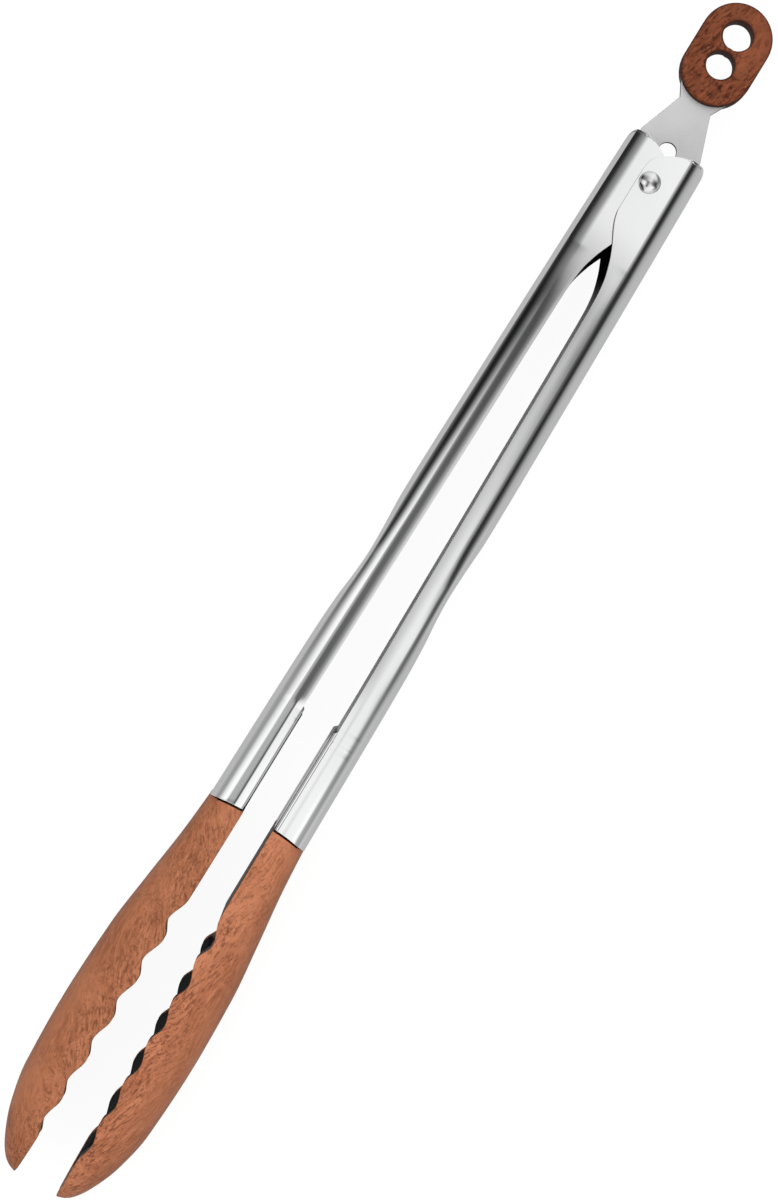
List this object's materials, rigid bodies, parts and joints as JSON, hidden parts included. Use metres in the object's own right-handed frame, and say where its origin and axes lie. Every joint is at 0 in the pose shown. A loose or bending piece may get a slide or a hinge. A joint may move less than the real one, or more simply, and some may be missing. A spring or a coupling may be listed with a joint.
{
  "type": "kitchen tongs",
  "caption": "Spring loaded kitchen tongs: stainless channel arms on a rivet, scalloped scoop heads with a wood-effect shell, and a pull-out lock tab with a hanging ring.",
  "frame": {"origin": "middle of the resting box's base: the tongs lie on their side, and the floor is z = 0", "axes": "+Y runs from the tips to the pull ring, +Z is the pivot axis, and the left arm is on -X"},
  "size_m": [0.0348, 0.32, 0.029],
  "materials": {
    "polished_steel": "mirror polished stainless sheet",
    "matt_steel": "matt, fine even grain",
    "spring_steel": "drawn wire",
    "wood_effect": "satin orange-brown wood effect with fine dark flecks",
    "dark_wood_effect": "satin red-brown wood effect",
    "black_core": "satin black"
  },
  "bodies": {
    "pivot": {"pivot_rivet": "polished_steel", "spacer_upper": "matt_steel", "spacer_lower": "matt_steel", "torsion_spring": "spring_steel"},
    "right_arm": {"right_arm": "polished_steel", "right_head_shell": "wood_effect", "right_head_core": "black_core"},
    "left_arm": {"left_arm": "polished_steel", "left_head_shell": "wood_effect", "left_head_core": "black_core"},
    "lock_tab": {"lock_tab": "matt_steel", "ring_front": "dark_wood_effect", "ring_back": "dark_wood_effect"}
  },
  "joints": [
    {"name": "right_arm_swing", "type": "hinge", "parent": "pivot", "child": "right_arm", "pos_m": [0, 0.1103, 0.0145], "axis": [0, 0, 1], "range_deg": [-1.1, 15], "stiffness_Nm_per_rad": 0.35, "springref_deg": 20.05, "deforming": ["torsion_spring"]},
    {"name": "left_arm_swing", "type": "hinge", "parent": "pivot", "child": "left_arm", "pos_m": [0, 0.1103, 0.0145], "axis": [0, 0, -1], "range_deg": [-1.1, 15]},
    {"name": "lock_tab_slide", "type": "slide", "parent": "pivot", "child": "lock_tab", "axis": [0, -1, 0], "range_m": [-0.0008, 0.0108]}
  ],
  "couplings": [
    {"joint": "left_arm_swing", "follows": "right_arm_swing", "ratio": 1},
    {"joint": "lock_tab_slide", "follows": "right_arm_swing", "m_per_rad": 0.041}
  ]
}
